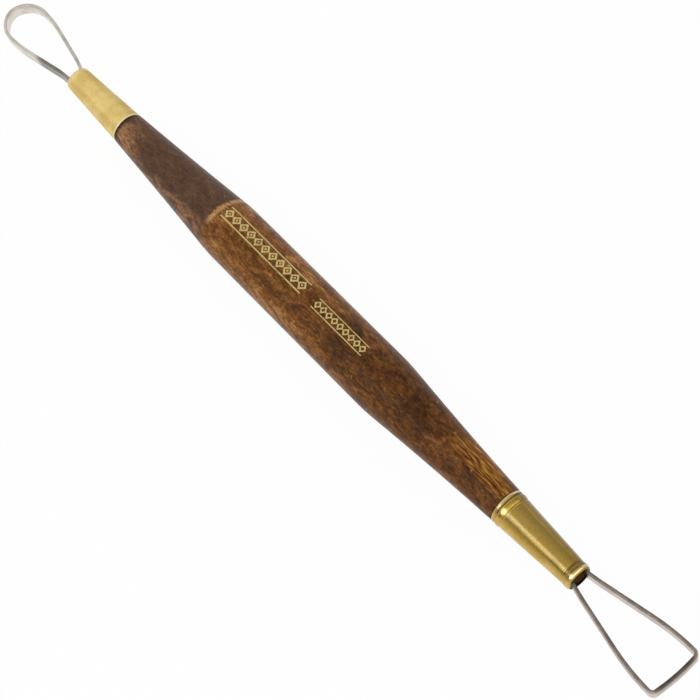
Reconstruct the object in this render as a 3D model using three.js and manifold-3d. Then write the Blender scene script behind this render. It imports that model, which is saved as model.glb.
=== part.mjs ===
// Double-ended ribbon tool for clay. A turned hardwood handle carries a drawn brass ferrule on
// each end, and each ferrule grips the two legs of a sprung steel ribbon: a teardrop loop on the
// -X end and a triangular loop on the +X end.
//
// Millimetres, +Z up. X = 0 is the middle of the overall length and Z = 0 is the table that the
// handle lies on. Both loops lie level, so a loop's opening faces straight up and down.

import * as THREE from 'three';
import { mergeVertices } from 'three/addons/utils/BufferGeometryUtils.js';
import Module from 'manifold-3d';

// Turned handle. Its diameters and the ferrules' are taken across flats.
const gripDiameter = 12.7;
const gripLength = 48.6;
const gripEdgeEase = 1.6;
const shoulderRound = 0.3;

// Tapers between the grip and the ferrules
const teardropTaperLength = 33.7;
const teardropTaperHollow = 0.1;
const teardropShoulderDiameter = 7.34;
const triangleTaperLength = 34.0;
const triangleTaperHollow = 0.17;
const triangleShoulderDiameter = 7.66;

// Tenons: the handle's turned ends inside the ferrules
const tenonRecess = 3.2;
const tenonChamfer = 0.25;

// Ribbon stock and the legs that the ferrules grip
const ribbonWidth = 3.0;
const ribbonThickness = 0.7;
const ribbonEdgeBevel = 0.12;
const legSpacing = 3.1;
const legGrip = 13.0;
const legSpreadStart = 0.3;
const setRun = 3.0;

// Teardrop loop
const teardropLength = 23.2;
const teardropWidth = 9.8;
const teardropTipRadius = 3.2;
const teardropCornerRadius = 5.4;
const teardropSideRadius = 30.0;
const teardropSet = -0.35;
const teardropSkew = 0.04;

// Triangular loop
const triangleLength = 25.9;
const triangleWidth = 11.7;
const triangleTipRadius = 22.0;
const triangleCornerRadius = 1.6;
const triangleSideRadius = 36.0;
const triangleSet = -0.15;
const triangleSkew = 0.035;

// Drawn ferrules
const ferruleWall = 0.25;
const teardropFerruleLength = 17.7;
const teardropNeckDiameter = 6.98;
const teardropRimDiameter = 7.28;
const teardropRimLength = 1.7;
const teardropLipRise = 0.0;
const triangleFerruleLength = 20.1;
const triangleNeckDiameter = 7.3;
const triangleRimDiameter = 7.74;
const triangleRimLength = 2.1;
const triangleLipRise = 0.1;
const rimFall = 0.5;
const lipLength = 0.9;
const lipRun = 0.3;
const edgeRound = 0.18;

// Set adhesive between the legs, behind each ferrule's mouth
const adhesiveRecess = 0.4;
const adhesiveDish = 0.15;

// Clearance between pieces that seat on each other
const seatGap = 0.1;

// Flats round each turned piece. The handle's are broad, and one of them lies on the table.
const handleFlats = 16;
const ferruleFlats = 24;

// Straight lengths that each curve is drawn with
const taperSteps = 8;
const easeSteps = 3;
const dishSteps = 3;
const tipSteps = 8;
const cornerSteps = 9;
const sideSteps = 5;
const bendSteps = 2;

// Half-height and outer face of a gripped leg, and the bore that clears its corners
const legInner = legSpacing / 2 - ribbonThickness / 2;
const legOuter = legSpacing / 2 + ribbonThickness / 2;
const mouthBore = Math.hypot(legOuter, ribbonWidth / 2) + seatGap;
const mouthRadius = mouthBore + ferruleWall;

// Clear of every part of a ferrule's mouth, sideways and outwards
const cutReach = 2 * mouthRadius;

// Corner radius of a turned piece whose opposite flats are a diameter apart
function acrossFlats(diameter, flats) {
  return diameter / 2 / Math.cos(Math.PI / flats);
}

const overallLength = teardropLength + teardropFerruleLength + teardropTaperLength + gripLength
  + triangleTaperLength + triangleFerruleLength + triangleLength;

// Everything that one end of the tool is made from, with its stations measured outwards from X = 0
function toolEnd(sizes) {
  const mouth = overallLength / 2 - sizes.loop.length;
  const rim = mouth - sizes.ferrule.length;
  const neckBore = acrossFlats(sizes.ferrule.neckDiameter, ferruleFlats) - ferruleWall;
  return { ...sizes, mouth, rim, gripEdge: rim - sizes.taper.length, neckBore };
}

const teardropEnd = toolEnd({
  taper: {
    length: teardropTaperLength,
    hollow: teardropTaperHollow,
    shoulderDiameter: teardropShoulderDiameter,
  },
  ferrule: {
    length: teardropFerruleLength,
    neckDiameter: teardropNeckDiameter,
    rimDiameter: teardropRimDiameter,
    rimLength: teardropRimLength,
    lipRise: teardropLipRise,
  },
  loop: {
    length: teardropLength,
    width: teardropWidth,
    tipRadius: teardropTipRadius,
    cornerRadius: teardropCornerRadius,
    sideRadius: teardropSideRadius,
    set: teardropSet,
    skew: teardropSkew,
  },
});

const triangleEnd = toolEnd({
  taper: {
    length: triangleTaperLength,
    hollow: triangleTaperHollow,
    shoulderDiameter: triangleShoulderDiameter,
  },
  ferrule: {
    length: triangleFerruleLength,
    neckDiameter: triangleNeckDiameter,
    rimDiameter: triangleRimDiameter,
    rimLength: triangleRimLength,
    lipRise: triangleLipRise,
  },
  loop: {
    length: triangleLength,
    width: triangleWidth,
    tipRadius: triangleTipRadius,
    cornerRadius: triangleCornerRadius,
    sideRadius: triangleSideRadius,
    set: triangleSet,
    skew: triangleSkew,
  },
});

// Bore radius of an end's ferrule, a plain cone from its rim to its mouth
function boreAt(end, station) {
  const share = (station - end.rim) / (end.mouth - end.rim);
  return THREE.MathUtils.lerp(end.neckBore, mouthBore, share);
}

const wasm = await Module();
wasm.setup();

// A closed three.js geometry as a solid that can be cut
function toSolid(geometry) {
  const bare = geometry.clone();
  bare.deleteAttribute('normal');
  bare.deleteAttribute('uv');
  const merged = mergeVertices(bare, 1e-5);
  return new wasm.Manifold(new wasm.Mesh({
    numProp: 3,
    vertProperties: new Float32Array(merged.attributes.position.array),
    triVerts: new Uint32Array(merged.index.array),
  }));
}

function toGeometry(solid) {
  const mesh = solid.getMesh();
  const geometry = new THREE.BufferGeometry();
  geometry.setAttribute('position', new THREE.BufferAttribute(mesh.vertProperties, 3));
  geometry.setIndex(new THREE.BufferAttribute(mesh.triVerts, 1));
  geometry.computeVertexNormals();
  return geometry;
}

// A turned piece: a profile of (radius, station along X) points, spun round the X axis with a
// flat, not an edge, at the bottom.
function turned(profile, flats) {
  const geometry = new THREE.LatheGeometry(profile, flats, Math.PI / flats, 2 * Math.PI);
  geometry.rotateZ(-Math.PI / 2);
  return geometry;
}

// A box between two corners
function block(low, high) {
  const size = new THREE.Vector3().subVectors(high, low);
  const middle = new THREE.Vector3().addVectors(low, high).multiplyScalar(0.5);
  return new THREE.BoxGeometry(size.x, size.y, size.z).translate(middle.x, middle.y, middle.z);
}

// The two cuts that leave room for an end's legs, from their inner ends out past the mouth
function legCuts(end) {
  const face = legInner - seatGap;
  const start = end.mouth - legGrip - seatGap;
  const finish = end.mouth + cutReach;
  return [
    block(
      new THREE.Vector3(start, face, -cutReach),
      new THREE.Vector3(finish, cutReach, cutReach),
    ),
    block(
      new THREE.Vector3(start, -cutReach, -cutReach),
      new THREE.Vector3(finish, -face, cutReach),
    ),
  ].map(toSolid);
}

// A curve that eases off a corner, from one side of it to the other
function eased(from, corner, to, steps) {
  return new THREE.QuadraticBezierCurve(from, corner, to).getPoints(steps);
}

// Handle profile from one tenon's end face in to the middle of the grip
function handleHalfProfile(end) {
  const grip = acrossFlats(gripDiameter, handleFlats);
  const shoulder = acrossFlats(end.taper.shoulderDiameter, handleFlats);
  const tenonEnd = end.mouth - tenonRecess;
  const shoulderFace = end.rim - seatGap;
  const profile = [
    new THREE.Vector2(0, tenonEnd),
    new THREE.Vector2(boreAt(end, tenonEnd) - seatGap - tenonChamfer, tenonEnd),
    new THREE.Vector2(boreAt(end, tenonEnd) - seatGap, tenonEnd - tenonChamfer),
    new THREE.Vector2(boreAt(end, shoulderFace) - seatGap, shoulderFace),
    new THREE.Vector2(shoulder - shoulderRound, shoulderFace),
  ];
  const taperRadius = (share) => THREE.MathUtils.lerp(grip, shoulder, share)
    - 4 * end.taper.hollow * share * (1 - share);
  const taperStart = end.gripEdge + gripEdgeEase;
  const taperEnd = shoulderFace - shoulderRound;
  for (let i = taperSteps; i > 0; i -= 1) {
    const station = THREE.MathUtils.lerp(taperStart, taperEnd, i / taperSteps);
    const share = (station - end.gripEdge) / (shoulderFace - end.gripEdge);
    profile.push(new THREE.Vector2(taperRadius(share), station));
  }
  const easeShare = gripEdgeEase / (shoulderFace - end.gripEdge);
  profile.push(...eased(
    new THREE.Vector2(taperRadius(easeShare), taperStart),
    new THREE.Vector2(grip, end.gripEdge),
    new THREE.Vector2(grip, end.gripEdge - gripEdgeEase),
    easeSteps,
  ));
  return profile;
}

function handleGeometry() {
  const flip = (point) => new THREE.Vector2(point.x, -point.y);
  const profile = [
    ...handleHalfProfile(teardropEnd).map(flip),
    ...handleHalfProfile(triangleEnd).reverse(),
  ];
  let solid = toSolid(turned(profile, handleFlats));
  for (const cut of legCuts(triangleEnd)) {
    solid = solid.subtract(cut);
  }
  for (const cut of legCuts(teardropEnd)) {
    solid = solid.subtract(cut.rotate([0, 0, 180]));
  }
  return toGeometry(solid);
}

// Ferrule: a drawn cone with a bell rim over the wood's shoulder and a lip at the mouth
function ferruleGeometry(end) {
  const { neckDiameter, rimDiameter, rimLength, lipRise } = end.ferrule;
  const neck = acrossFlats(neckDiameter, ferruleFlats);
  const rim = acrossFlats(rimDiameter, ferruleFlats);
  const lip = mouthRadius + lipRise;
  const profile = [
    ...eased(
      new THREE.Vector2(rim - edgeRound, end.rim),
      new THREE.Vector2(rim, end.rim),
      new THREE.Vector2(rim, end.rim + edgeRound),
      easeSteps,
    ),
    new THREE.Vector2(rim, end.rim + rimLength),
    new THREE.Vector2(neck, end.rim + rimLength + rimFall),
    new THREE.Vector2(mouthRadius, end.mouth - lipLength - lipRun),
    new THREE.Vector2(lip, end.mouth - lipLength),
    ...eased(
      new THREE.Vector2(lip, end.mouth - edgeRound),
      new THREE.Vector2(lip, end.mouth),
      new THREE.Vector2(lip - edgeRound, end.mouth),
      easeSteps,
    ),
    new THREE.Vector2(mouthBore, end.mouth),
    new THREE.Vector2(end.neckBore, end.rim),
    new THREE.Vector2(rim - edgeRound, end.rim),
  ];
  return turned(profile, ferruleFlats);
}

// Set adhesive: fills the bore between the tenon's end and the mouth, as far as the legs. It has
// sunk in the middle.
function adhesiveGeometry(end) {
  const back = end.mouth - tenonRecess + seatGap;
  const face = end.mouth - adhesiveRecess;
  const faceRadius = boreAt(end, face) - seatGap;
  const solid = toSolid(turned([
    new THREE.Vector2(0, back),
    new THREE.Vector2(boreAt(end, back) - seatGap, back),
    ...eased(
      new THREE.Vector2(faceRadius, face),
      new THREE.Vector2(faceRadius / 2, face - adhesiveDish),
      new THREE.Vector2(0, face - adhesiveDish),
      dishSteps,
    ),
  ], ferruleFlats));
  return toGeometry(legCuts(end).reduce((body, cut) => body.subtract(cut), solid));
}

// Stations of half a loop's centre line, from the middle of its tip to the cut end of its leg.
// x is the station along the handle, y lies across it, and (nx, ny) points out of the loop. The
// share is how much of the loop's set and skew that station has.
function halfLoop(end) {
  const { length, width, tipRadius, cornerRadius, sideRadius, skew } = end.loop;
  const halfWidth = width / 2 - ribbonThickness / 2;
  const halfLeg = legSpacing / 2;
  const tipReach = (tipRadius + ribbonThickness / 2) * Math.hypot(1, skew);
  const tipCentre = end.mouth + length - tipReach;
  const tipAngle = Math.asin((halfWidth - cornerRadius) / (tipRadius - cornerRadius));
  const cornerCentre = tipCentre + (tipRadius - cornerRadius) * Math.cos(tipAngle);

  // The straight leg leaves the ferrule at its foot and meets the side arc as a tangent.
  const foot = new THREE.Vector2(end.mouth + legSpreadStart, halfLeg);
  const toSide = new THREE.Vector2(cornerCentre, halfWidth - sideRadius).sub(foot);
  const spread = toSide.angle() - 2 * Math.PI + Math.asin(sideRadius / toSide.length());
  const footRadius = legSpreadStart / Math.tan(spread / 2);

  const stations = [];
  const arc = (cx, cy, radius, from, to, steps) => {
    for (let i = 0; i <= steps; i += 1) {
      const angle = THREE.MathUtils.lerp(from, to, i / steps);
      const nx = Math.cos(angle);
      const ny = Math.sin(angle);
      stations.push({ x: cx + radius * nx, y: cy + radius * ny, nx, ny, share: 1 });
    }
  };
  arc(tipCentre, 0, tipRadius, 0, tipAngle, tipSteps);
  stations.pop();
  arc(cornerCentre, halfWidth - cornerRadius, cornerRadius, tipAngle, Math.PI / 2, cornerSteps);
  stations.pop();
  arc(
    cornerCentre,
    halfWidth - sideRadius,
    sideRadius,
    Math.PI / 2,
    Math.PI / 2 + spread,
    sideSteps,
  );

  // A station on the straight leg where the set ends
  stations.push({
    x: end.mouth + setRun,
    y: halfLeg + (setRun - legSpreadStart) * Math.tan(spread),
    nx: -Math.sin(spread),
    ny: Math.cos(spread),
    share: 1,
  });

  // The bend at the mouth, which curves the other way
  for (let i = 0; i <= bendSteps; i += 1) {
    const angle = THREE.MathUtils.lerp(spread, 0, i / bendSteps);
    stations.push({
      x: end.mouth + footRadius * Math.sin(angle),
      y: halfLeg + footRadius * (1 - Math.cos(angle)),
      nx: -Math.sin(angle),
      ny: Math.cos(angle),
      share: 0,
    });
  }
  stations.push({ x: end.mouth - legGrip, y: halfLeg, nx: 0, ny: 1, share: 0 });
  return stations;
}

// Ribbon: flat strip with bevelled edges, standing on edge all the way round the loop. A hand-bent
// loop stands a little to one side, so its legs come across by its set outside the mouth, and its
// tip is out of square by its skew.
function ribbonGeometry(end) {
  const half = halfLoop(end);
  const mirrored = half.slice(1).map((s) => ({ ...s, y: -s.y, ny: -s.ny }));
  const path = [...mirrored.reverse(), ...half]
    .map((s) => ({
      ...s,
      x: s.x + end.loop.skew * s.y * s.share,
      y: s.y + end.loop.set * s.share,
    }));
  const t = ribbonThickness / 2;
  const w = ribbonWidth / 2;
  const b = ribbonEdgeBevel;
  const section = [
    [t, w - b], [t - b, w], [b - t, w], [-t, w - b],
    [-t, b - w], [b - t, -w], [t - b, -w], [t, b - w],
  ];
  const sides = section.length;
  const positions = [];
  for (const s of path) {
    for (const [out, up] of section) {
      positions.push(s.x + s.nx * out, s.y + s.ny * out, up);
    }
  }
  const faces = [];
  for (let i = 0; i < path.length - 1; i += 1) {
    for (let j = 0; j < sides; j += 1) {
      const a = i * sides + j;
      const c = i * sides + (j + 1) % sides;
      faces.push(a, a + sides, c, c, a + sides, c + sides);
    }
  }
  const last = (path.length - 1) * sides;
  for (let j = 1; j < sides - 1; j += 1) {
    faces.push(0, j, j + 1, last, last + j + 1, last + j);
  }
  const geometry = new THREE.BufferGeometry();
  geometry.setAttribute('position', new THREE.Float32BufferAttribute(positions, 3));
  geometry.setIndex(faces);
  geometry.computeVertexNormals();
  return geometry;
}

const stainedWood = new THREE.MeshStandardMaterial({ color: 0x6a4428, roughness: 0.45, metalness: 0 });
const mattBrass = new THREE.MeshStandardMaterial({ color: 0xd0b56c, roughness: 0.5, metalness: 1 });
const brightBrass = new THREE.MeshStandardMaterial({ color: 0xb3963f, roughness: 0.25, metalness: 1 });
const ribbonSteel = new THREE.MeshStandardMaterial({ color: 0xb9b2a8, roughness: 0.35, metalness: 1 });
const setAdhesive = new THREE.MeshStandardMaterial({ color: 0x2a1a10, roughness: 0.6, metalness: 0 });

function piece(name, geometry, material) {
  const mesh = new THREE.Mesh(geometry, material);
  mesh.name = name;
  return mesh;
}

const tool = new THREE.Group();
tool.position.z = gripDiameter / 2;
tool.add(piece('handle', handleGeometry(), stainedWood));

const triangleGroup = new THREE.Group();
triangleGroup.add(piece('ferrule_triangle_end', ferruleGeometry(triangleEnd), brightBrass));
triangleGroup.add(piece('ribbon_triangle', ribbonGeometry(triangleEnd), ribbonSteel));
triangleGroup.add(piece('adhesive_triangle_end', adhesiveGeometry(triangleEnd), setAdhesive));
tool.add(triangleGroup);

const teardropGroup = new THREE.Group();
teardropGroup.rotation.z = Math.PI;
teardropGroup.add(piece('ferrule_teardrop_end', ferruleGeometry(teardropEnd), mattBrass));
teardropGroup.add(piece('ribbon_teardrop', ribbonGeometry(teardropEnd), ribbonSteel));
teardropGroup.add(piece('adhesive_teardrop_end', adhesiveGeometry(teardropEnd), setAdhesive));
tool.add(teardropGroup);

const root = new THREE.Group();
root.add(tool);

export default root;
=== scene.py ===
import math

import bmesh
import bpy
from mathutils import Matrix, Vector, noise


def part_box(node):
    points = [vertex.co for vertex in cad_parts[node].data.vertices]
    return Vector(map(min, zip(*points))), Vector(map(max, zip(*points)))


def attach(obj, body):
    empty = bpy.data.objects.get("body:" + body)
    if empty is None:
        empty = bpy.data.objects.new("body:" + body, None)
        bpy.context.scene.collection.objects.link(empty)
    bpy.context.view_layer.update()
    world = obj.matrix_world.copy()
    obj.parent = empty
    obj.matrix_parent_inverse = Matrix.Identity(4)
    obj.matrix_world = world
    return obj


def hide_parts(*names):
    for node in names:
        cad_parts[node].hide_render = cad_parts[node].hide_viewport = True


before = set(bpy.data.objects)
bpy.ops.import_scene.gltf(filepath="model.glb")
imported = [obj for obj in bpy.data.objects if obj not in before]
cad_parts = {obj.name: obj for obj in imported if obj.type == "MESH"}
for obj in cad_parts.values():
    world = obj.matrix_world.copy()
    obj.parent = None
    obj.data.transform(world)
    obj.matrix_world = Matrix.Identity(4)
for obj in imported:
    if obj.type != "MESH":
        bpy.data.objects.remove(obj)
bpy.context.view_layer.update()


# Handle: one length of hardwood dowel, turned to a plain grip with a long taper on each side and
# a tenon at each end. It is stained dark brown and lacquered, and the teardrop end was dipped
# again as far as the edge of the grip, where the coats end in a worn, pale line.
mm = 0.001
handle_low, handle_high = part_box("handle")
teardrop_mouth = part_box("ferrule_teardrop_end")[0].x
teardrop_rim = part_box("ferrule_teardrop_end")[1].x
triangle_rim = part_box("ferrule_triangle_end")[0].x
triangle_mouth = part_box("ferrule_triangle_end")[1].x
teardrop_leg_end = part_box("ribbon_teardrop")[1].x
triangle_leg_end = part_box("ribbon_triangle")[0].x
axis_height = (handle_low.z + handle_high.z) / 2

grip_radius = axis_height
grip_start = -27.0 * mm
grip_finish = 21.6 * mm
grip_edge_ease = 1.8 * mm
teardrop_shoulder_radius = 3.67 * mm
triangle_shoulder_radius = 3.83 * mm
teardrop_taper_hollow = 0.10 * mm
triangle_taper_hollow = 0.17 * mm
shoulder_round = 0.25 * mm
seat_gap = 0.1 * mm
tenon_root_radius = 3.2 * mm
tenon_end_radius = 2.85 * mm
tenon_core_radius = 1.0 * mm

turning_steps = 128
sharp_corner = math.radians(50)
same_point = 0.001 * mm


def turn(name, profile, steps=turning_steps, closed=False):
    """A piece turned on the tool's axis from a profile of (station, radius) points."""
    bm = bmesh.new()
    points = [bm.verts.new((station, 0, radius)) for station, radius in profile]
    ends = points[1:] + points[:1] if closed else points[1:]
    edges = [bm.edges.new(pair) for pair in zip(points, ends)]
    bmesh.ops.spin(bm, geom=points + edges, cent=(0, 0, 0), axis=(1, 0, 0), dvec=(0, 0, 0),
                   angle=2 * math.pi, steps=steps, use_merge=True)
    bmesh.ops.remove_doubles(bm, verts=bm.verts, dist=same_point)
    bmesh.ops.recalc_face_normals(bm, faces=bm.faces)
    bmesh.ops.translate(bm, verts=bm.verts, vec=(0, 0, axis_height))
    mesh = bpy.data.meshes.new(name)
    bm.to_mesh(mesh)
    bm.free()
    mesh.shade_smooth()
    mesh.set_sharp_from_angle(angle=sharp_corner)
    piece = bpy.data.objects.new(name, mesh)
    bpy.context.collection.objects.link(piece)
    return piece


def eased(start, corner, finish, steps=6):
    """Points along the curve that eases a corner off."""
    for i in range(steps + 1):
        t = i / steps
        yield tuple((1 - t) ** 2 * a + 2 * t * (1 - t) * b + t ** 2 * c
                    for a, b, c in zip(start, corner, finish))


def taper(edge, shoulder, shoulder_radius, hollow, steps=24):
    """Points down a taper, slightly hollow, from the edge of the grip to the ferrule's rim."""
    for i in range(steps + 1):
        t = i / steps
        radius = grip_radius + (shoulder_radius - grip_radius) * t - 4 * hollow * t * (1 - t)
        yield edge + (shoulder - edge) * t, radius


def handle_half(edge, rim, leg_end, tenon_end, shoulder_radius, hollow):
    """The profile from the middle of the grip out to one end of the handle."""
    out = 1 if rim > edge else -1
    shoulder = rim - out * seat_gap
    down = list(taper(edge, shoulder, shoulder_radius, hollow))
    corner = next(i for i, point in enumerate(down) if abs(point[0] - edge) > grip_edge_ease)
    yield from eased((edge - out * grip_edge_ease, grip_radius), (edge, grip_radius),
                     down[corner])
    yield from down[corner + 1:-1]
    yield from eased((shoulder - out * shoulder_round, shoulder_radius),
                     (shoulder, shoulder_radius),
                     (shoulder, shoulder_radius - shoulder_round))
    yield shoulder, tenon_root_radius
    yield leg_end - out * seat_gap, tenon_end_radius
    yield leg_end - out * seat_gap, tenon_core_radius
    yield tenon_end, tenon_core_radius
    yield tenon_end, 0.0


teardrop_half = handle_half(grip_start, teardrop_rim, teardrop_leg_end, handle_low.x,
                            teardrop_shoulder_radius, teardrop_taper_hollow)
triangle_half = handle_half(grip_finish, triangle_rim, triangle_leg_end, handle_high.x,
                            triangle_shoulder_radius, triangle_taper_hollow)
handle = turn("turned_handle", list(teardrop_half)[::-1] + list(triangle_half))


def paint(code):
    """A colour from its six-figure paint code, in the linear values that shaders use."""
    shares = [int(code[i:i + 2], 16) / 255 for i in (0, 2, 4)]
    linear = [s / 12.92 if s <= 0.04045 else ((s + 0.055) / 1.055) ** 2.4 for s in shares]
    return (*linear, 1.0)


def feed(tree, made, feeds):
    """Gives each named or numbered input of a node its value, or links it to its socket."""
    for key, value in feeds.items():
        if isinstance(value, bpy.types.NodeSocket):
            tree.links.new(value, made.inputs[key])
        else:
            made.inputs[key].default_value = value


def node(tree, kind, feeds=None, **settings):
    """A shader node with its settings; feeds holds a value or a socket for each input."""
    made = tree.nodes.new("ShaderNode" + kind)
    for setting, value in settings.items():
        setattr(made, setting, value)
    feed(tree, made, feeds or {})
    return made


def calc(tree, operation, *values, clamp=False):
    """One sum on values or sockets."""
    made = node(tree, "Math", dict(enumerate(values)), operation=operation, use_clamp=clamp)
    return made.outputs[0]


def lay(tree, share, under, over):
    """One colour laid over another by a share from 0 to 1."""
    return node(tree, "Mix", {0: share, 6: under, 7: over}, data_type="RGBA").outputs[2]


def fade(tree, value, start, finish, low=0.0, high=1.0):
    """A value spread smoothly between low and high as it goes from start to finish."""
    feeds = {0: value, 1: start, 2: finish, 3: low, 4: high}
    return node(tree, "MapRange", feeds, interpolation_type="SMOOTHSTEP").outputs[0]


def zone(tree, *fades):
    """The product of several fades, each given as (value, start, finish, low, high)."""
    mask = fade(tree, *fades[0])
    for further in fades[1:]:
        mask = calc(tree, "MULTIPLY", mask, fade(tree, *further))
    return mask


def measured(tree, place):
    """A place in metres as its three parts in millimetres."""
    scaled = node(tree, "VectorMath", {0: place, "Scale": 1 / mm}, operation="SCALE")
    return node(tree, "SeparateXYZ", {0: scaled.outputs[0]}).outputs


def shades(tree, value, *stops):
    """A value as a colour, by stops of (place, paint code)."""
    made = node(tree, "ValToRGB", {0: value})
    ramp = made.color_ramp
    for place, code in stops[2:]:
        ramp.elements.new(place)
    for element, (place, code) in zip(ramp.elements, sorted(stops)):
        element.position = place
        element.color = paint(code)
    return made.outputs[0]


def effect(name, inputs, outputs):
    """An empty node group; inputs holds each first value, with None for a place in space."""
    group = bpy.data.node_groups.new(name, "ShaderNodeTree")
    for label, value in inputs.items():
        kind = "NodeSocketVector" if value is None else "NodeSocketFloat"
        socket = group.interface.new_socket(label, in_out="INPUT", socket_type=kind)
        if value is not None:
            socket.default_value = value
    for label in outputs:
        group.interface.new_socket(label, in_out="OUTPUT", socket_type="NodeSocketFloat")
    given = group.nodes.new("NodeGroupInput").outputs
    return group, given, group.nodes.new("NodeGroupOutput").inputs


def use(tree, group, feeds):
    """A node group placed in a material with its own values."""
    made = tree.nodes.new("ShaderNodeGroup")
    made.node_tree = group
    feed(tree, made, feeds)
    return made.outputs


def new_material(name, **sockets):
    """An empty material, its tree and its surface shader, with fixed values on the sockets."""
    material = bpy.data.materials.new(name)
    material.use_nodes = True
    tree = material.node_tree
    surface = tree.nodes["Principled BSDF"]
    for label, value in sockets.items():
        surface.inputs[label.replace("_", " ")].default_value = value
    return material, tree, surface


def make_streaks():
    """Marks drawn out along the X axis, such as grain or the lines that rolling leaves."""
    group, given, result = effect(
        "streaks",
        {"Position": None, "Length": 3.0, "Width": 0.3, "Detail": 3.0, "Waviness": 0.0},
        ("Value",),
    )
    across = calc(group, "DIVIDE", 1 / mm, given["Width"])
    along = calc(group, "DIVIDE", 1 / mm, given["Length"])
    rate = node(group, "CombineXYZ", {0: along, 1: across, 2: across}).outputs[0]
    stretched = node(group, "VectorMath", {0: given["Position"], 1: rate},
                     operation="MULTIPLY").outputs[0]
    marks = node(group, "TexNoise", {"Vector": stretched, "Scale": 1.0, "Roughness": 0.6,
                                     "Detail": given["Detail"],
                                     "Distortion": given["Waviness"]})
    group.links.new(marks.outputs[0], result["Value"])
    return group


streaks = make_streaks()

grain_colours = ((0.30, "301a02"), (0.40, "4a2806"), (0.50, "683d0e"), (0.60, "8a5722"),
                 (0.72, "b0824c"))
amber_colours = ((0.36, "3c1a00"), (0.50, "7e4a04"), (0.64, "c48a3c"))
dipped_colours = ((0.34, "41281a"), (0.50, "563b28"), (0.66, "73543c"))
bared_colours = ((0.36, "603e26"), (0.50, "845a38"), (0.62, "ae8056"))
worn_line_colour = "c28f5c"
rim_shade_colour = "2a1c08"
pore_colour = "2a1809"
nick_colour = "b89a7c"
foil_colour = "ccb878"

fibre_share = 0.36
fleck_share = 0.34
figure_share = 0.52
grain_offset = -0.11
nick_size = 1.3 * mm
wood_relief = 0.03 * mm
worn_line_place = -28.8 * mm
worn_line_slant = 0.05
worn_line_width = 1.3 * mm
worn_line_raggedness = 1.2 * mm
dip_edge_blur = 0.15 * mm

long_row = {"Tilt": math.radians(11.1), "Start": -27.6 * mm, "Finish": -2.8 * mm,
            "Half height": 1.2 * mm, "Hollow": 0.55, "Core": 0.25,
            "Rule place": 1.5 * mm, "Rule width": 0.28 * mm}
long_row_motifs = 11
short_row = {"Tilt": math.radians(6.3), "Start": 0.7 * mm, "Finish": 15.7 * mm,
             "Half height": 0.95 * mm, "Hollow": 0.5, "Core": 0.0,
             "Rule place": 1.2 * mm, "Rule width": 0.22 * mm}
short_row_motifs = 9


def make_foil_row():
    """A row of hollow lozenges between two thin rules; Core is the size of a solid middle."""
    group, given, result = effect(
        "foil row",
        {"Position": None, "Tilt": 0.0, "Start": 0.0, "Finish": 1.0, "Pitch": 1.0,
         "Half height": 1.0, "Hollow": 0.6, "Core": 0.0, "Rule place": 1.0,
         "Rule width": 0.1},
        ("Mask",),
    )
    parts = node(group, "SeparateXYZ", {0: given["Position"]}).outputs
    angle = calc(group, "ARCTAN2", parts[1], calc(group, "SUBTRACT", parts[2], axis_height))
    arc = calc(group, "MULTIPLY", calc(group, "SUBTRACT", angle, given["Tilt"]), grip_radius)
    arc = calc(group, "ABSOLUTE", arc)
    along = calc(group, "SUBTRACT", parts[0], given["Start"])
    half_pitch = calc(group, "MULTIPLY", given["Pitch"], 0.5)
    from_edge = calc(group, "PINGPONG", along, half_pitch)
    from_middle = calc(group, "SUBTRACT", 1.0, calc(group, "DIVIDE", from_edge, half_pitch))
    reach = calc(group, "ADD", from_middle,
                 calc(group, "DIVIDE", arc, given["Half height"]))
    lozenge = calc(group, "MULTIPLY", calc(group, "GREATER_THAN", reach, given["Hollow"]),
                   calc(group, "LESS_THAN", reach, 1.0))
    core = calc(group, "LESS_THAN", reach, given["Core"])
    rule = calc(group, "ABSOLUTE", calc(group, "SUBTRACT", arc, given["Rule place"]))
    rule = calc(group, "LESS_THAN", rule, calc(group, "MULTIPLY", given["Rule width"], 0.5))
    drawn = calc(group, "MAXIMUM", calc(group, "MAXIMUM", lozenge, core), rule)
    after = calc(group, "GREATER_THAN", parts[0], given["Start"])
    before = calc(group, "LESS_THAN", parts[0], given["Finish"])
    drawn = calc(group, "MULTIPLY", drawn, calc(group, "MULTIPLY", after, before))
    upward = calc(group, "GREATER_THAN", parts[2], axis_height)
    group.links.new(calc(group, "MULTIPLY", drawn, upward), result["Mask"])
    return group


foil_row = make_foil_row()


def press_foil(tree, place, row, motifs):
    """The mask of one row of gold foil, with its number of motifs between start and finish."""
    pitch = (row["Finish"] - row["Start"]) / motifs
    return use(tree, foil_row, {"Position": place, "Pitch": pitch, **row})["Mask"]


def stain_wood(tree, station, side, grain, figure, long_grain):
    """The wood under its brown stain, with a streaked amber patch beside the triangle's ferrule.

    The stain took lighter at the teardrop end of the grip than at the triangle end, and lighter
    on the triangle end's taper. Both sides of the grip are painted lighter than the top, a
    painted sheen.
    """
    whole_grip = fade(tree, station, -16, 18, 0.04, -0.07)
    # Painted sheen: the tone is lifted along both sides of the grip, the low side most.
    low_side_sheen = zone(tree, (side, -5.5, -3.2, 0.08, 0.0), (station, -20, -8, 0.6, 1.0),
                    (station, 10, 24, 1.0, 0.6))
    high_side_sheen = zone(tree, (side, 1.5, 3.5, 0.0, 0.05), (station, -24, -12, 0.2, 1.0),
                     (station, 14, 24, 1.0, 0.0))
    triangle_taper = fade(tree, station, 32, 44, 0.0, 0.04)
    tone = grain
    for lift in (whole_grip, low_side_sheen, high_side_sheen, triangle_taper):
        tone = calc(tree, "ADD", tone, lift)
    patch = zone(tree, (station, 38, 46), (side, -1.6, 0.2), (figure, 0.38, 0.52, 0.35, 1.0))
    return lay(tree, patch, shades(tree, tone, *grain_colours),
               shades(tree, long_grain, *amber_colours))


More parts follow.
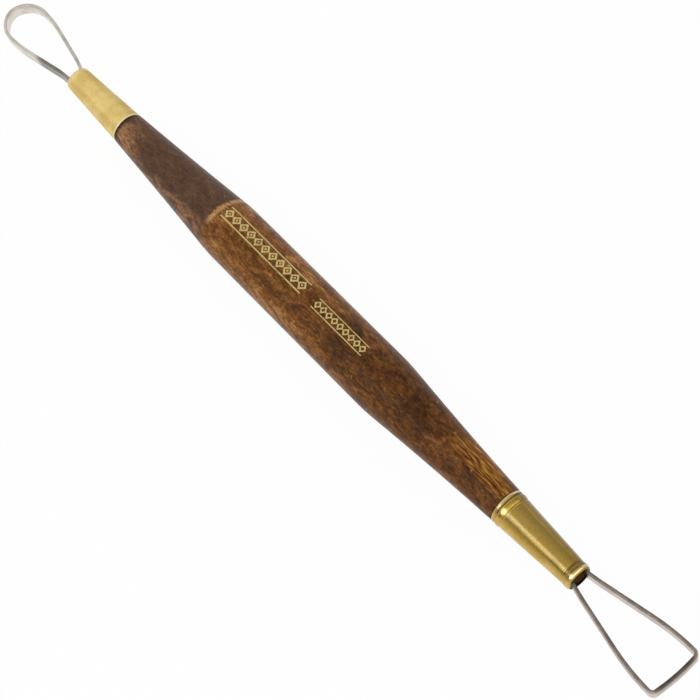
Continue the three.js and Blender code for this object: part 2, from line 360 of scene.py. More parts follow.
def dip_wood(tree, station, side, grain, figure):
    """The dipped end: darker and plainer, but bared beside its ferrule and lighter along its low
    side.
    """
    tone = calc(tree, "MULTIPLY_ADD", grain, 0.8, 0.1)
    bared_end = zone(tree, (station, -57.5, -50, 1.0, 0.0), (figure, 0.40, 0.58, 0.45, 1.0),
                     (side, -3.0, 1.5, 1.0, 0.3))
    lighter_low_side = zone(tree, (side, -4.4, -3.0, 0.7, 0.0), (figure, 0.42, 0.56, 0.3, 1.0))
    return lay(tree, calc(tree, "MAXIMUM", bared_end, lighter_low_side),
               shades(tree, tone, *dipped_colours), shades(tree, grain, *bared_colours))


def make_stained_wood():
    """The handle's finish, from the grain up to the foil. Places on it are in millimetres."""
    material, tree, surface = new_material("stained_wood", Coat_Weight=0.5, Coat_Roughness=0.3,
                                           Coat_IOR=1.3, Specular_IOR_Level=0.04)
    place = node(tree, "TexCoord").outputs["Object"]
    station, side = measured(tree, place)[:2]

    fibres = use(tree, streaks, {"Position": place, "Length": 1.8, "Width": 0.3,
                                 "Waviness": 0.8})["Value"]
    flecks = use(tree, streaks, {"Position": place, "Length": 0.7, "Width": 0.45,
                                 "Detail": 2.0})["Value"]
    figure = use(tree, streaks, {"Position": place, "Length": 4.5, "Width": 2.4,
                                 "Detail": 4.0, "Waviness": 1.0})["Value"]
    pores = use(tree, streaks, {"Position": place, "Length": 1.5, "Width": 0.14,
                                "Detail": 1.0})["Value"]
    long_grain = use(tree, streaks, {"Position": place, "Length": 4.5, "Width": 0.3,
                                     "Waviness": 0.4})["Value"]
    grain = calc(tree, "MULTIPLY_ADD", fibres, fibre_share, grain_offset)
    grain = calc(tree, "MULTIPLY_ADD", flecks, fleck_share, grain)
    grain = calc(tree, "MULTIPLY_ADD", figure, figure_share, grain)
    wood = stain_wood(tree, station, side, grain, figure, long_grain)
    dipped = dip_wood(tree, station, side, grain, figure)

    # The edge of the dip crosses the handle at a slant and is worn through in places.
    edge = calc(tree, "SUBTRACT", station, worn_line_place / mm)
    edge = calc(tree, "SUBTRACT", edge, calc(tree, "MULTIPLY", side, worn_line_slant))
    ragged = calc(tree, "MULTIPLY", calc(tree, "SUBTRACT", flecks, 0.5),
                  worn_line_raggedness / mm)
    edge = calc(tree, "ADD", edge, ragged)
    blur = dip_edge_blur / mm
    body = lay(tree, fade(tree, edge, -blur, blur), dipped, wood)
    line = worn_line_width / mm
    worn = zone(tree, (calc(tree, "ABSOLUTE", edge), 0.1 * line, 0.65 * line, 1.0, 0.0),
                (side, -3.6, -2.0, 0.05, 0.9), (fibres, 0.36, 0.52, 0.5, 1.0))
    body = lay(tree, worn, body, paint(worn_line_colour))

    # Painted shade: a dark line on the wood against the teardrop end's ferrule.
    from_rim = calc(tree, "SUBTRACT", station, teardrop_rim / mm)
    body = lay(tree, fade(tree, from_rim, 0.3, 1.3, 0.95, 0.0), body, paint(rim_shade_colour))

    # Open pores are dark with stain, and small nicks show the bare wood.
    dark_pores = fade(tree, pores, 0.32, 0.42, 0.5, 0.0)
    body = lay(tree, dark_pores, body, paint(pore_colour))
    nicks = node(tree, "TexNoise", {"Vector": place, "Scale": 1 / nick_size, "Detail": 2.0})
    body = lay(tree, fade(tree, nicks.outputs[0], 0.73, 0.77, 0.0, 0.6), body,
               paint(nick_colour))

    # Two rows of gold foil are pressed on the top of the grip, rubbed thin along the fibres.
    foil = calc(tree, "MAXIMUM", press_foil(tree, place, long_row, long_row_motifs),
                press_foil(tree, place, short_row, short_row_motifs))
    foil = calc(tree, "MULTIPLY", foil, fade(tree, fibres, 0.34, 0.46, 0.45, 0.95))
    body = lay(tree, foil, body, paint(foil_colour))

    tree.links.new(body, surface.inputs["Base Color"])
    tree.links.new(calc(tree, "MULTIPLY", foil, 0.3), surface.inputs["Metallic"])
    roughness = fade(tree, grain, 0.35, 0.65, 0.6, 0.45)
    tree.links.new(roughness, surface.inputs["Roughness"])
    relief = calc(tree, "SUBTRACT", fibres, calc(tree, "MULTIPLY", dark_pores, 0.8))
    relief = calc(tree, "SUBTRACT", relief, calc(tree, "MULTIPLY", foil, 0.6))
    bump = node(tree, "Bump", {"Strength": 0.25, "Distance": wood_relief, "Height": relief})
    tree.links.new(bump.outputs[0], surface.inputs["Normal"])
    return material


handle.data.materials.append(make_stained_wood())
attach(handle, "root")
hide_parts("handle")


# Ferrule on the triangle end: a tube of thin brass, drawn to a cone over the tenon, polished and
# lacquered. Rolling left a bead and grooves next to the wood and a lip round the mouth.
triangle_outline = (
    (0.00, 3.74), (0.02, 3.86), (0.20, 3.89), (0.54, 3.87), (0.67, 3.74), (0.79, 3.70),
    (0.92, 3.76), (1.06, 3.90), (1.22, 3.94), (1.46, 3.92), (1.75, 3.86), (2.05, 3.79),
    (2.28, 3.71), (2.42, 3.69), (2.60, 3.75), (2.80, 3.74), (3.10, 3.70), (10.50, 3.28),
    (17.60, 2.89), (17.95, 2.83), (18.30, 2.83), (18.65, 2.91), (19.00, 2.94), (19.35, 2.92),
    (19.68, 2.83), (19.90, 2.73), (20.05, 2.61), (20.10, 2.53), (20.06, 2.47),
)
triangle_bore_at_rim = 3.42
mouth_bore = 2.46
straight_bore = 0.5
ferrule_steps = 48
roll_smoothness = 2


def draw_ferrule(name, outline, rim, mouth, bore_at_rim):
    """A ferrule from its outline, given in millimetres from its rim towards its mouth."""
    out = 1 if mouth > rim else -1
    inside = [(outline[-1][0] - straight_bore, mouth_bore), (straight_bore, bore_at_rim),
              (0.0, bore_at_rim)]
    profile = [(rim + out * along * mm, radius * mm) for along, radius in [*outline, *inside]]
    piece = turn(name, profile, steps=ferrule_steps, closed=True)
    piece.data.shade_smooth()
    rolled = piece.modifiers.new("rolled", "SUBSURF")
    rolled.levels = roll_smoothness
    rolled.render_levels = roll_smoothness
    return piece


ferrule_triangle = draw_ferrule("drawn_ferrule_triangle_end", triangle_outline, triangle_rim,
                                triangle_mouth, triangle_bore_at_rim)


def make_tarnish():
    """Dull spots and clouds on a metal: a mask for the clouds and one for the spots."""
    group, given, result = effect("tarnish", {"Position": None, "Cloud": 4.0, "Spot": 0.5},
                                  ("Clouds", "Spots"))
    cloud_scale = calc(group, "DIVIDE", 1 / mm, given["Cloud"])
    clouds = node(group, "TexNoise", {"Vector": given["Position"], "Scale": cloud_scale,
                                      "Detail": 3.0, "Roughness": 0.55}).outputs[0]
    spot_scale = calc(group, "DIVIDE", 1 / mm, given["Spot"])
    spots = node(group, "TexNoise", {"Vector": given["Position"], "Scale": spot_scale,
                                     "Detail": 2.0, "Roughness": 0.7}).outputs[0]
    group.links.new(fade(group, clouds, 0.35, 0.65), result["Clouds"])
    group.links.new(fade(group, spots, 0.52, 0.72), result["Spots"])
    return group


tarnish = make_tarnish()

painted_shade_colour = "5f4a18"
highlight_colour = "f4e8c4"
bore_stain_colour = "2c1806"
drawn_line_depth = 0.01 * mm
band_blur = 0.08 * mm
reach_blur_degrees = 8


def make_brass(name, bright, dull, spotted, spot_share, far_shade_share, near_dark_band_share, highlight_share,
               rim, mouth, bands, bore_edge, roughness_low, roughness_high, lacquer):
    """Drawn brass: its clear colour, clouded towards a dull one, with spots of a third.

    The far side is darkened by painted shade and a streak on the near one by a painted dark
    reflection, by their shares, and a line between them has a paler painted highlight. Each band
    is a pair of distances from the rim in millimetres, a colour, its share and how many degrees
    round the near side it reaches before it fades. Adhesive stains the bore, least beside the
    legs, where the clearer brass is painted light against the shade of the crevices.
    """
    material, tree, surface = new_material(name, Metallic=1.0, Coat_Weight=lacquer,
                                           Coat_Roughness=0.12)
    place = node(tree, "TexCoord").outputs["Object"]
    station, side, over_sheet = measured(tree, place)
    height = calc(tree, "SUBTRACT", over_sheet, axis_height / mm)
    degrees = calc(tree, "DEGREES", calc(tree, "ARCTAN2", side, height))

    marks = use(tree, tarnish, {"Position": place})
    drawn = use(tree, streaks, {"Position": place, "Length": 7.0, "Width": 0.16})["Value"]
    colour = lay(tree, marks["Clouds"], paint(bright), paint(dull))
    spots = calc(tree, "MULTIPLY", marks["Spots"], spot_share)
    colour = lay(tree, spots, colour, paint(spotted))

    # Painted shade on the far side and a painted dark reflection on a streak on the near side.
    far = fade(tree, degrees, 10, 45, 0.0, far_shade_share)
    near = zone(tree, (degrees, -64, -44, 0.0, near_dark_band_share), (degrees, -40, -28, 1.0, 0.0))
    colour = lay(tree, calc(tree, "ADD", far, near), colour, paint(painted_shade_colour))
    # A painted highlight: a paler line between the two darker ones.
    rubbed = zone(tree, (degrees, -38, -28, 0.0, highlight_share), (degrees, -22, -12, 1.0, 0.0))
    colour = lay(tree, rubbed, colour, paint(highlight_colour))

    along = calc(tree, "ABSOLUTE", calc(tree, "SUBTRACT", station, rim / mm))
    blur = band_blur / mm
    reach_blur = reach_blur_degrees
    for start, end, code, share, reach in bands:
        band = zone(tree, (along, start - blur, start + blur, 0.0, share),
                    (along, end - blur, end + blur, 1.0, 0.0),
                    (degrees, -reach - reach_blur, -reach + reach_blur, 0.15, 1.0))
        colour = lay(tree, band, colour, paint(code))

    from_axis = calc(tree, "SQRT", calc(tree, "ADD", calc(tree, "POWER", side, 2.0),
                                        calc(tree, "POWER", height, 2.0)))
    from_mouth = calc(tree, "ABSOLUTE", calc(tree, "SUBTRACT", station, mouth / mm))
    from_middle = calc(tree, "ABSOLUTE", side)
    bore = bore_edge / mm
    # Painted light: the bore is left clearer beside the legs, against the shade of the crevices
    # there.
    stained = zone(tree, (from_axis, bore, bore + 0.1, 0.92, 0.0), (from_mouth, 3, 4, 1.0, 0.0),
                   (from_middle, 1.8, 2.2, 1.0, 0.3))
    colour = lay(tree, stained, colour, paint(bore_stain_colour))
    tree.links.new(colour, surface.inputs["Base Color"])
    if lacquer > 0:
        coat = fade(tree, stained, 0.0, 0.3, lacquer, 0.0)
        tree.links.new(coat, surface.inputs["Coat Weight"])
    roughness = fade(tree, marks["Clouds"], 0.0, 1.0, roughness_low, roughness_high)
    tree.links.new(roughness, surface.inputs["Roughness"])
    bump = node(tree, "Bump", {"Strength": 0.2, "Distance": drawn_line_depth, "Height": drawn})
    tree.links.new(bump.outputs[0], surface.inputs["Normal"])
    return material


# Painted light in the bands: a painted highlight on the thin edge at the rim, painted shade in
# the groove behind it, at the foot of the bead and in the hollow before the lip, a painted
# highlight on the lip, and a duller band on the mouth's rounded edge. Each fades round the near
# side.
triangle_bands = (
    (-0.2, 0.44, "f0dcb8", 0.65, 22),
    (0.56, 1.00, "3c2e0c", 0.75, 48),
    (2.22, 2.48, "5a4616", 0.5, 46),
    (17.85, 19.08, "5a3a06", 0.66, 42),
    (19.14, 19.70, "f0e2b0", 0.5, 34),
    (19.78, 20.30, "8a7440", 0.5, 44),
)
ferrule_triangle.data.materials.append(make_brass(
    "bright_brass", "ceab54", "c09c3e", "8c6c22", 0.4, far_shade_share=0.78, near_dark_band_share=0.42,
    highlight_share=0.2, rim=triangle_rim, mouth=triangle_mouth, bands=triangle_bands,
    bore_edge=2.56 * mm, roughness_low=0.2, roughness_high=0.28, lacquer=0.4))
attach(ferrule_triangle, "root")
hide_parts("ferrule_triangle_end")


# Ferrule on the teardrop end: the same kind of drawn brass tube, left dull. It has a thin edge
# against the wood, a plain cone and a rounded corner at the mouth.
teardrop_outline = (
    (0.00, 3.52), (0.02, 3.66), (0.35, 3.67), (0.50, 3.60), (8.50, 3.20), (16.40, 2.79),
    (17.00, 2.77), (17.25, 2.74), (17.40, 2.66), (17.47, 2.55), (17.44, 2.47),
)
teardrop_bore_at_rim = 3.24

ferrule_teardrop = draw_ferrule("drawn_ferrule_teardrop_end", teardrop_outline, teardrop_rim,
                                teardrop_mouth, teardrop_bore_at_rim)
# A painted highlight on the thin edge at the rim, and a paler band over the mouth's corner.
teardrop_bands = (
    (-0.2, 0.40, "f2e4bc", 0.6, 90),
    (16.3, 17.6, "f4dcb0", 0.3, 90),
)
ferrule_teardrop.data.materials.append(make_brass(
    "matt_brass", "e6cc84", "dabe75", "c4984c", 0.35, far_shade_share=0.24, near_dark_band_share=0.12,
    highlight_share=0.0, rim=teardrop_rim, mouth=teardrop_mouth, bands=teardrop_bands,
    bore_edge=2.46 * mm, roughness_low=0.42, roughness_high=0.52, lacquer=0.0))
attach(ferrule_teardrop, "root")
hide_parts("ferrule_teardrop_end")


# Ribbon loops: each is one length of flat spring steel, standing on edge, bent over its middle
# into a loop and pushed into the ferrule by both ends. One is a teardrop, the other a triangle.
ribbon_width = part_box("ribbon_triangle")[1].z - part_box("ribbon_triangle")[0].z
ribbon_thickness = 0.7 * mm
ribbon_edge_round = 0.24 * mm
leg_bend = 0.3 * mm
set_run = 3.0 * mm
end_bar_set_back = 0.12 * mm

tip_steps = 16
corner_steps = 20
side_steps = 14
foot_steps = 3
leg_stops = (0.25, 0.5, 0.7, 0.8, 0.9, 1.0)


def bend(bm, tip, centre, angle, steps):
    """Carries the strip round a centre by an angle and returns its new end."""
    bent = bmesh.ops.spin(bm, geom=[tip], cent=(*centre, 0), axis=(0, 0, 1), dvec=(0, 0, 0),
                          angle=angle, steps=steps, use_duplicate=False)
    return next(part for part in bent["geom_last"] if isinstance(part, bmesh.types.BMVert))


def run_on(bm, tip, place):
    """Carries the strip straight to a place and returns its new end."""
    grown = bmesh.ops.extrude_vert_indiv(bm, verts=[tip])["verts"][0]
    grown.co = (*place, 0)
    return grown


def bend_ribbon(reach, mouth, leg_end, leg_spacing, width, tip_radius, corner_radius,
                side_radius, set_aside, skew):
    """A loop's line on the +X side: reach is its outermost station, mouth the ferrule's.

    Beyond the mouth it is set aside by a distance and stands askew by a slope.
    """
    half_width = width / 2 - ribbon_thickness / 2
    half_leg = leg_spacing / 2
    tip_centre = reach - (ribbon_thickness / 2 + tip_radius) * math.hypot(1, skew)
    tip_angle = math.asin((half_width - corner_radius) / (tip_radius - corner_radius))
    corner_centre = tip_centre + (tip_radius - corner_radius) * math.cos(tip_angle)
    foot = Vector((mouth + leg_bend, half_leg))
    to_side = Vector((corner_centre, half_width - side_radius)) - foot
    spread = math.atan2(to_side.y, to_side.x) + math.asin(side_radius / to_side.length)
    foot_radius = leg_bend / math.tan(spread / 2)

    bm = bmesh.new()
    tip = bm.verts.new((tip_centre + tip_radius, 0, 0))
    tip = bend(bm, tip, (tip_centre, 0), tip_angle, tip_steps)
    tip = bend(bm, tip, (corner_centre, half_width - corner_radius), math.pi / 2 - tip_angle,
               corner_steps)
    tip = bend(bm, tip, (corner_centre, half_width - side_radius), spread, side_steps)
    leg_start = Vector(tip.co.xy)
    leg_foot = Vector((mouth + foot_radius * math.sin(spread),
                       half_leg + foot_radius * (1 - math.cos(spread))))
    for share in leg_stops:
        tip = run_on(bm, tip, leg_start.lerp(leg_foot, share))
    tip = bend(bm, tip, (mouth, half_leg + foot_radius), -spread, foot_steps)
    run_on(bm, tip, (leg_end, half_leg))

    bmesh.ops.mirror(bm, geom=bm.verts[:] + bm.edges[:], matrix=Matrix.Identity(4),
                     merge_dist=same_point, axis="Y")
    for vert in bm.verts:
        share = min(max((vert.co.x - mouth) / set_run, 0), 1)
        vert.co.x += skew * vert.co.y * share
        vert.co.y += set_aside * share
    return bm


def raise_strip(bm):
    """Raises a bent line into a strip that has its own coordinates.

    They are the distance along the strip from its outermost point, and the one across it.
    """
    along = bm.verts.layers.float.new("along")
    start = max(bm.verts, key=lambda vert: vert.co.x)
    reached = [start]
    seen = {start}
    for vert in reached:
        for edge in vert.link_edges:
            beyond = edge.other_vert(vert)
            if beyond not in seen:
                seen.add(beyond)
                beyond[along] = vert[along] + edge.calc_length()
                reached.append(beyond)
    raised = bmesh.ops.extrude_edge_only(bm, edges=bm.edges[:])["geom"]
    raised = [part for part in raised if isinstance(part, bmesh.types.BMVert)]
    bmesh.ops.translate(bm, verts=raised, vec=(0, 0, ribbon_width))
    strip_map = bm.loops.layers.uv.new("strip")
    for face in bm.faces:
        for loop in face.loops:
            loop[strip_map].uv = (loop.vert[along], loop.vert.co.z)
    bmesh.ops.recalc_face_normals(bm, faces=bm.faces)
    bmesh.ops.translate(bm, verts=bm.verts, vec=(0, 0, axis_height - ribbon_width / 2))


def ribbon_piece(name, bm):
    """Gives a bent strip its thickness and its rounded edges."""
    mesh = bpy.data.meshes.new(name)
    bm.to_mesh(mesh)
    bm.free()
    mesh.shade_smooth()
    piece = bpy.data.objects.new(name, mesh)
    bpy.context.collection.objects.link(piece)
    wall = piece.modifiers.new("thickness", "SOLIDIFY")
    wall.thickness = ribbon_thickness
    wall.offset = 0
    wall.use_even_offset = True
    wall.material_offset_rim = 1
    edges = piece.modifiers.new("edges", "BEVEL")
    edges.width = ribbon_edge_round
    edges.segments = 3
    edges.limit_method = "ANGLE"
    edges.angle_limit = sharp_corner
    edges.harden_normals = True
    edges.material = 1
    return piece


triangle_strip = bend_ribbon(
    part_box("ribbon_triangle")[1].x - end_bar_set_back, triangle_mouth, triangle_leg_end,
    leg_spacing=3.45 * mm, width=11.8 * mm, tip_radius=40 * mm, corner_radius=0.95 * mm,
    side_radius=50 * mm, set_aside=-0.12 * mm, skew=0.022)
raise_strip(triangle_strip)
ribbon_triangle = ribbon_piece("bent_ribbon_triangle", triangle_strip)

teardrop_strip = bend_ribbon(
    -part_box("ribbon_teardrop")[0].x, -teardrop_mouth, -teardrop_leg_end,
    leg_spacing=3.25 * mm, width=9.8 * mm, tip_radius=3.2 * mm, corner_radius=5.4 * mm,
    side_radius=30 * mm, set_aside=-0.35 * mm, skew=0.04)
raise_strip(teardrop_strip)
bmesh.ops.rotate(teardrop_strip, verts=teardrop_strip.verts, cent=(0, 0, 0),
                 matrix=Matrix.Rotation(math.pi, 3, "Z"))
ribbon_teardrop = ribbon_piece("bent_ribbon_teardrop", teardrop_strip)

edge_shade_colour = "5a5044"
bar_edge_shade_colour = "382c2a"
corner_highlight_colour = "cfc6bc"
leg_darkening_colour = "4e443a"
roughness_spread = 0.06


def make_ribbon_steel(name, pale, dark, edge_shade, bar_edge_shade_share, roughness):
    """Rolled strip: lines along it from the rolls, painted shade next to its upper sheared edge.
    """
    material, tree, surface = new_material(name, Metallic=1.0)
    strip = node(tree, "UVMap", uv_map="strip").outputs[0]
    place = node(tree, "TexCoord").outputs["Object"]
    station, side = measured(tree, place)[:2]
    from_middle = calc(tree, "ABSOLUTE", side)
    from_edge = calc(tree, "SUBTRACT", ribbon_width / mm, measured(tree, strip)[1])

    rolled = use(tree, streaks, {"Position": strip, "Length": 4.0, "Width": 0.15})["Value"]
    marks = use(tree, tarnish, {"Position": place, "Cloud": 3.0, "Spot": 0.35})
    tone = calc(tree, "ADD", calc(tree, "MULTIPLY", rolled, 0.6),
                calc(tree, "MULTIPLY", marks["Clouds"], 0.4))
    colour = lay(tree, fade(tree, tone, 0.25, 0.8), paint(pale), paint(dark))

    # The painted shade below the upper edge is deeper on the triangle's end bar.
    at_bar = zone(tree, (station, 99.0, 100.2), (from_middle, 3.6, 5.0, 1.0, 0.12))
    depth = calc(tree, "MULTIPLY_ADD", at_bar, 1.1, 0.9)
    shade = fade(tree, calc(tree, "DIVIDE", from_edge, depth), 0.0, 1.0, edge_shade, 0.0)
    colour = lay(tree, shade, colour, paint(edge_shade_colour))

    # The end bar has a darker painted shade along its upper edge,
    # and painted highlights on its corners.
    scale = calc(tree, "MULTIPLY", at_bar, fade(tree, from_edge, 0.6, 1.6, bar_edge_shade_share, 0.0))
    colour = lay(tree, scale, colour, paint(bar_edge_shade_colour))
    at_corner = zone(tree, (station, 98.8, 100.2, 0.0, 0.3), (from_middle, 4.8, 5.4))
    colour = lay(tree, at_corner, colour, paint(corner_highlight_colour))

    # Both legs are darker where they leave a ferrule, on the teardrop for about 10 mm and most
    # on the near side. The triangle's near leg has painted shade below its upper edge for 20 mm.
    from_mouth = calc(tree, "SUBTRACT", teardrop_mouth / mm, station)
    leg_darkening = zone(tree, (from_mouth, 7.8, 10.2, 1.0, 0.0), (from_mouth, 0.5, 3.5, 0.55, 0.75),
                 (side, -0.4, 0.6, 1.0, 0.25))
    leg_darkening = calc(tree, "MULTIPLY", leg_darkening, calc(tree, "GREATER_THAN", from_mouth, 0.0))
    beyond = calc(tree, "SUBTRACT", station, triangle_mouth / mm)
    dull = zone(tree, (beyond, 20, 24, 0.45, 0.0), (side, -0.4, 0.6, 1.0, 0.0),
                (from_edge, 0.05, 0.3))
    dull = calc(tree, "MAXIMUM", dull, fade(tree, beyond, 0.0, 1.2, 0.7, 0.0))
    dull = calc(tree, "MULTIPLY", dull, calc(tree, "GREATER_THAN", station, 0.0))
    colour = lay(tree, calc(tree, "MAXIMUM", leg_darkening, dull), colour, paint(leg_darkening_colour))
    tree.links.new(colour, surface.inputs["Base Color"])
    varied = fade(tree, rolled, 0.3, 0.7, roughness - roughness_spread,
                  roughness + roughness_spread)
    tree.links.new(varied, surface.inputs["Roughness"])
    bump = node(tree, "Bump", {"Strength": 0.2, "Distance": drawn_line_depth,
                               "Height": rolled})
    tree.links.new(bump.outputs[0], surface.inputs["Normal"])
    return material


ribbon_finishes = (
    (ribbon_triangle, "ribbon_triangle",
     make_ribbon_steel("rolled_steel", "cec0b6", "b6a89e", 0.75, 0.6, 0.32),
     make_ribbon_steel("sheared_edge", "92867c", "766c62", 0.0, 0.6, 0.4)),
    (ribbon_teardrop, "ribbon_teardrop",
     make_ribbon_steel("rolled_pale_steel", "e2dcd4", "cdc6bc", 0.25, 0.0, 0.32),
     make_ribbon_steel("dressed_edge", "cec8be", "b9b2a7", 0.0, 0.0, 0.36)),
)
for ribbon, node_name, flat, edge in ribbon_finishes:
    ribbon.data.materials.append(flat)
    ribbon.data.materials.append(edge)
    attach(ribbon, "root")
    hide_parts(node_name)


# Adhesive: dark brown resin poured round the legs before the ferrule went on. It has set just
# inside each mouth, sunk in the middle, lumpy, and standing higher beside the legs.
adhesive_radius_at_face = 2.40 * mm
adhesive_radius_at_back = 2.6 * mm
adhesive_dish = 0.2 * mm
adhesive_rise = 0.3 * mm
rise_start = 1.7 * mm
rise_run = 0.35 * mm
lump_height = 0.12 * mm
lump_size = 0.8 * mm
lump_relief = 0.05 * mm
face_rings = 10
resin_colour = "261404"
resin_cloud_colour = "52340e"
resin_spot_colour = "5a4222"
crevice_light_colour = "d8c288"


def pour_adhesive(name, low, high, out):
    """The plug between two stations, with its free face on the side that out points to."""
    face, back = (high, low) if out > 0 else (low, high)
    shares = [ring / face_rings for ring in range(face_rings + 1)]
    dished = [(face - out * adhesive_dish * (1 - share ** 2), adhesive_radius_at_face * share)
              for share in shares]
    piece = turn(name, [*dished, (back, adhesive_radius_at_back), (back, 0.0)])
    for vert in piece.data.vertices:
        if abs(vert.co.x - face) <= adhesive_dish:
            beside_legs = min(max((abs(vert.co.y) - rise_start) / rise_run, 0), 1)
            lump = lump_height * noise.noise(vert.co / lump_size) * (1 - beside_legs)
            vert.co.x += out * (lump + adhesive_rise * beside_legs)
    piece.data.shade_smooth()
    return piece


def make_set_adhesive():
    """Set resin, clouded and spotted; pale beside the legs, painted light in the crevices there.
    """
    material, tree, surface = new_material("set_adhesive", Specular_IOR_Level=0.02)
    place = node(tree, "TexCoord").outputs["Object"]
    side = measured(tree, place)[1]
    marks = use(tree, tarnish, {"Position": place, "Cloud": 1.2, "Spot": 0.4})
    clouds = marks["Clouds"]
    colour = lay(tree, clouds, paint(resin_colour), paint(resin_cloud_colour))
    spots = calc(tree, "MULTIPLY", marks["Spots"], 0.6)
    colour = lay(tree, spots, colour, paint(resin_spot_colour))
    # Painted light: pale beside the legs, against the shade of the crevices.
    crevice_light = fade(tree, calc(tree, "ABSOLUTE", side), 1.8, 2.2, 0.0, 0.85)
    colour = lay(tree, crevice_light, colour, paint(crevice_light_colour))
    tree.links.new(colour, surface.inputs["Base Color"])
    roughness = fade(tree, clouds, 0.0, 1.0, 0.35, 0.6)
    tree.links.new(roughness, surface.inputs["Roughness"])
    bump = node(tree, "Bump", {"Strength": 0.5, "Distance": lump_relief, "Height": clouds})
    tree.links.new(bump.outputs[0], surface.inputs["Normal"])
    return material


set_adhesive = make_set_adhesive()
for node_name, out in (("adhesive_triangle_end", 1), ("adhesive_teardrop_end", -1)):
    low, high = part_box(node_name)
    plug = pour_adhesive("set_" + node_name, low.x, high.x, out)
    plug.data.materials.append(set_adhesive)
    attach(plug, "root")
    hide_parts(node_name)


# Stage: a white sheet under the tool, white surroundings, three cards over it that only
# reflections see, and one soft lamp over the near side. The sheet keeps a faint shadow, and the
# camera and every reflection see it as white.
sheet_reach = 3.0
sheet_whiteness = 0.96
paper_grey = (0.9, 0.9, 0.9, 1.0)
white = (1.0, 1.0, 1.0, 1.0)
surroundings_strength = 0.9


def level_sheet(name, low, high, height=0.0):
    """A level sheet between two corners; returns it and the tree of its empty material."""
    bm = bmesh.new()
    bmesh.ops.create_grid(bm, x_segments=1, y_segments=1, size=0.5)
    size = Vector(high) - Vector(low)
    middle = (Vector(high) + Vector(low)) / 2
    bmesh.ops.scale(bm, verts=bm.verts, vec=(size.x, size.y, 1))
    bmesh.ops.translate(bm, verts=bm.verts, vec=(middle.x, middle.y, height))
    mesh = bpy.data.meshes.new(name)
    bm.to_mesh(mesh)
    bm.free()
    made = bpy.data.objects.new(name, mesh)
    bpy.context.collection.objects.link(made)
    material = bpy.data.materials.new(name)
    material.use_nodes = True
    material.node_tree.nodes.remove(material.node_tree.nodes["Principled BSDF"])
    mesh.materials.append(material)
    return made, material.node_tree


def seen_directly(tree):
    """1 for rays from the camera, reflections and clear glass, 0 for the rest."""
    rays = node(tree, "LightPath").outputs
    seen = calc(tree, "ADD", rays["Is Camera Ray"], rays["Is Glossy Ray"])
    return calc(tree, "ADD", seen, rays["Is Transmission Ray"], clamp=True)


sheet, tree = level_sheet("white_sheet", low=(-sheet_reach, -sheet_reach),
                          high=(sheet_reach, sheet_reach))
paper = node(tree, "BsdfDiffuse", {"Color": paper_grey}).outputs[0]
glow = node(tree, "Emission", {"Color": white, "Strength": 1.0}).outputs[0]
share = calc(tree, "MULTIPLY", seen_directly(tree), sheet_whiteness)
mixed = node(tree, "MixShader", {0: share, 1: paper, 2: glow}).outputs[0]
tree.links.new(mixed, tree.nodes["Material Output"].inputs["Surface"])

surroundings = bpy.data.worlds.new("white_surroundings")
surroundings.use_nodes = True
tree = surroundings.node_tree
dimmed = node(tree, "Background", {"Color": white, "Strength": surroundings_strength}).outputs[0]
clear = node(tree, "Background", {"Color": white, "Strength": 1.0}).outputs[0]
mixed = node(tree, "MixShader", {0: seen_directly(tree), 1: dimmed, 2: clear}).outputs[0]
tree.links.new(mixed, tree.nodes["World Output"].inputs["Surface"])
bpy.context.scene.world = surroundings


def hang_card(name, height, low, high, strength=1.0):
    """A glowing card that only reflections see; returns its material's tree and its glow."""
    card, tree = level_sheet(name, low, high, height)
    glow = node(tree, "Emission", {"Color": white, "Strength": strength})
    tree.links.new(glow.outputs[0], tree.nodes["Material Output"].inputs["Surface"])
    card.visible_camera = False
    card.visible_diffuse = False
    card.visible_shadow = False
    return tree, glow


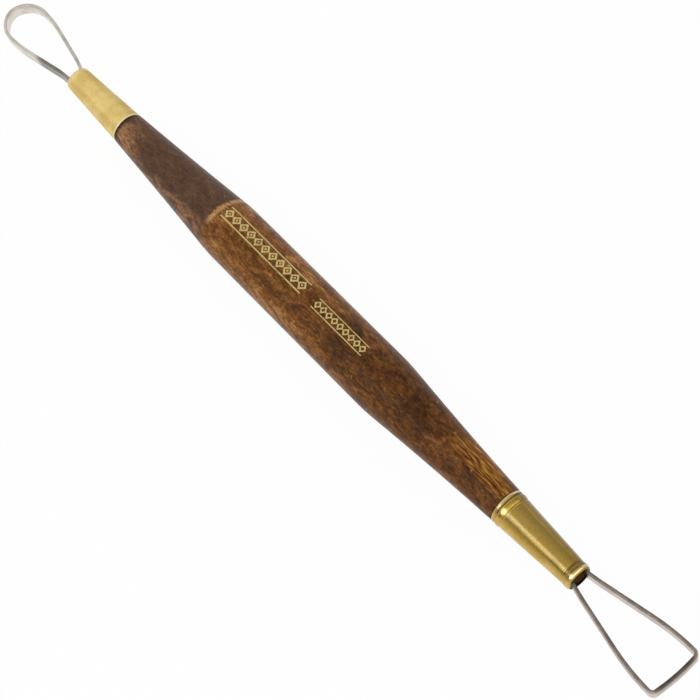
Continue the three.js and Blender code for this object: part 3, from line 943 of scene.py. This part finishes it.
# The grey card keeps the stained wood dark and gives the polished brass its darker bands beside
# the lamp's bright line. It is darkest on the near side. The white ones light that ferrule's
# lip and bead.
tree, glow = hang_card("grey_card", height=0.55, low=(-0.29, -6.0), high=(0.22, 1.9))
card_side = node(tree, "SeparateXYZ", {0: node(tree, "TexCoord").outputs["Object"]}).outputs[1]
card_grey = zone(tree, (card_side, -1.1, -0.4, 0.22, 0.58), (card_side, -0.2, 0.5, 1.0, 0.7))
tree.links.new(card_grey, glow.inputs["Strength"])
hang_card("lip_card", height=0.50, low=(0.17, -0.80), high=(0.42, 1.3), strength=2.0)
hang_card("bead_card", height=0.49, low=(0.03, -0.95), high=(0.16, -0.27), strength=5.0)

lamp_place = Vector((-0.155, -0.37, 0.5))
lamp_target = Vector((0.065, 0, 0))
lamp_length = 0.34
lamp_width = 0.14
lamp_power = 0.205
lamp_data = bpy.data.lights.new("strip_lamp", "AREA")
lamp_data.shape = "RECTANGLE"
lamp_data.size = lamp_length
lamp_data.size_y = lamp_width
lamp_data.energy = lamp_power
lamp = bpy.data.objects.new("strip_lamp", lamp_data)
bpy.context.collection.objects.link(lamp)
lamp.location = lamp_place
lamp.rotation_mode = "QUATERNION"
lamp.rotation_quaternion = (lamp_target - lamp_place).to_track_quat("-Z", "X")


# Camera: a long lens over the triangle end, turned so that the tool runs from the top left of
# the picture to the bottom right.
picture_size = 700
lens_in_pixels = 2402
sensor_width = 36.0
towards_camera = Vector((0.4147, -0.165, 0.895)).normalized()
camera_distance = 466.6 * mm
aim_point = Vector((10.4 * mm, 0, axis_height))
tool_slant = math.radians(44.93)

camera_data = bpy.data.cameras.new("camera")
camera_data.sensor_width = sensor_width
camera_data.lens = lens_in_pixels / picture_size * sensor_width
camera = bpy.data.objects.new("camera", camera_data)
bpy.context.collection.objects.link(camera)
tool_axis = Vector((1, 0, 0))
along = (tool_axis - towards_camera * tool_axis.dot(towards_camera)).normalized()
across = along.cross(towards_camera)
right = along * math.cos(tool_slant) - across * math.sin(tool_slant)
up = towards_camera.cross(right)
turned = Matrix((right, up, towards_camera)).transposed()
camera.matrix_world = (Matrix.Translation(aim_point + towards_camera * camera_distance)
                       @ turned.to_4x4())
bpy.context.scene.camera = camera

bpy.context.scene.view_settings.view_transform = "Standard"
